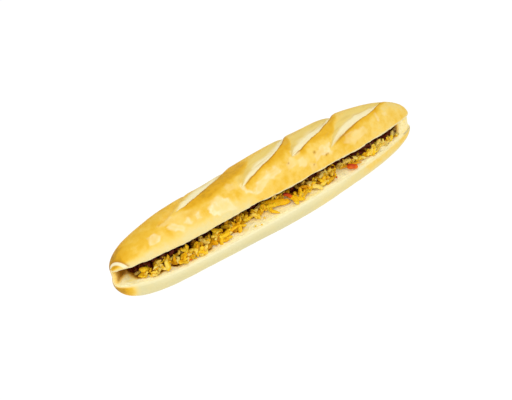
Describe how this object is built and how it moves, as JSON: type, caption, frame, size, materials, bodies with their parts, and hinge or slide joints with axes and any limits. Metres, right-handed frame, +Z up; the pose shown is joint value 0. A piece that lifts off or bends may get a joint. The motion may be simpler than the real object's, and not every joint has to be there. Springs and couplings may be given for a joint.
{
  "type": "banh mi sandwich",
  "caption": "Slashed demi baguette slit along its front, opened like a book and filled with pulled curried chicken and red pepper.",
  "frame": {"origin": "centre of the sandwich's box in plan, at the flat base of the loaf", "axes": "+X along the loaf, +Z up, and the open slit faces -Y"},
  "size_m": [0.3262, 0.0612, 0.0696],
  "materials": {
    "baked_bread": "matt golden crust, cream crumb inside",
    "curried_chicken": "moist yellow pulled meat",
    "red_pepper": "moist cooked red pepper"
  },
  "bodies": {
    "root": {"baguette": "baked_bread", "filling": "curried_chicken", "pepper_slice_front": "red_pepper", "pepper_slice_middle": "red_pepper"}
  },
  "joints": []
}
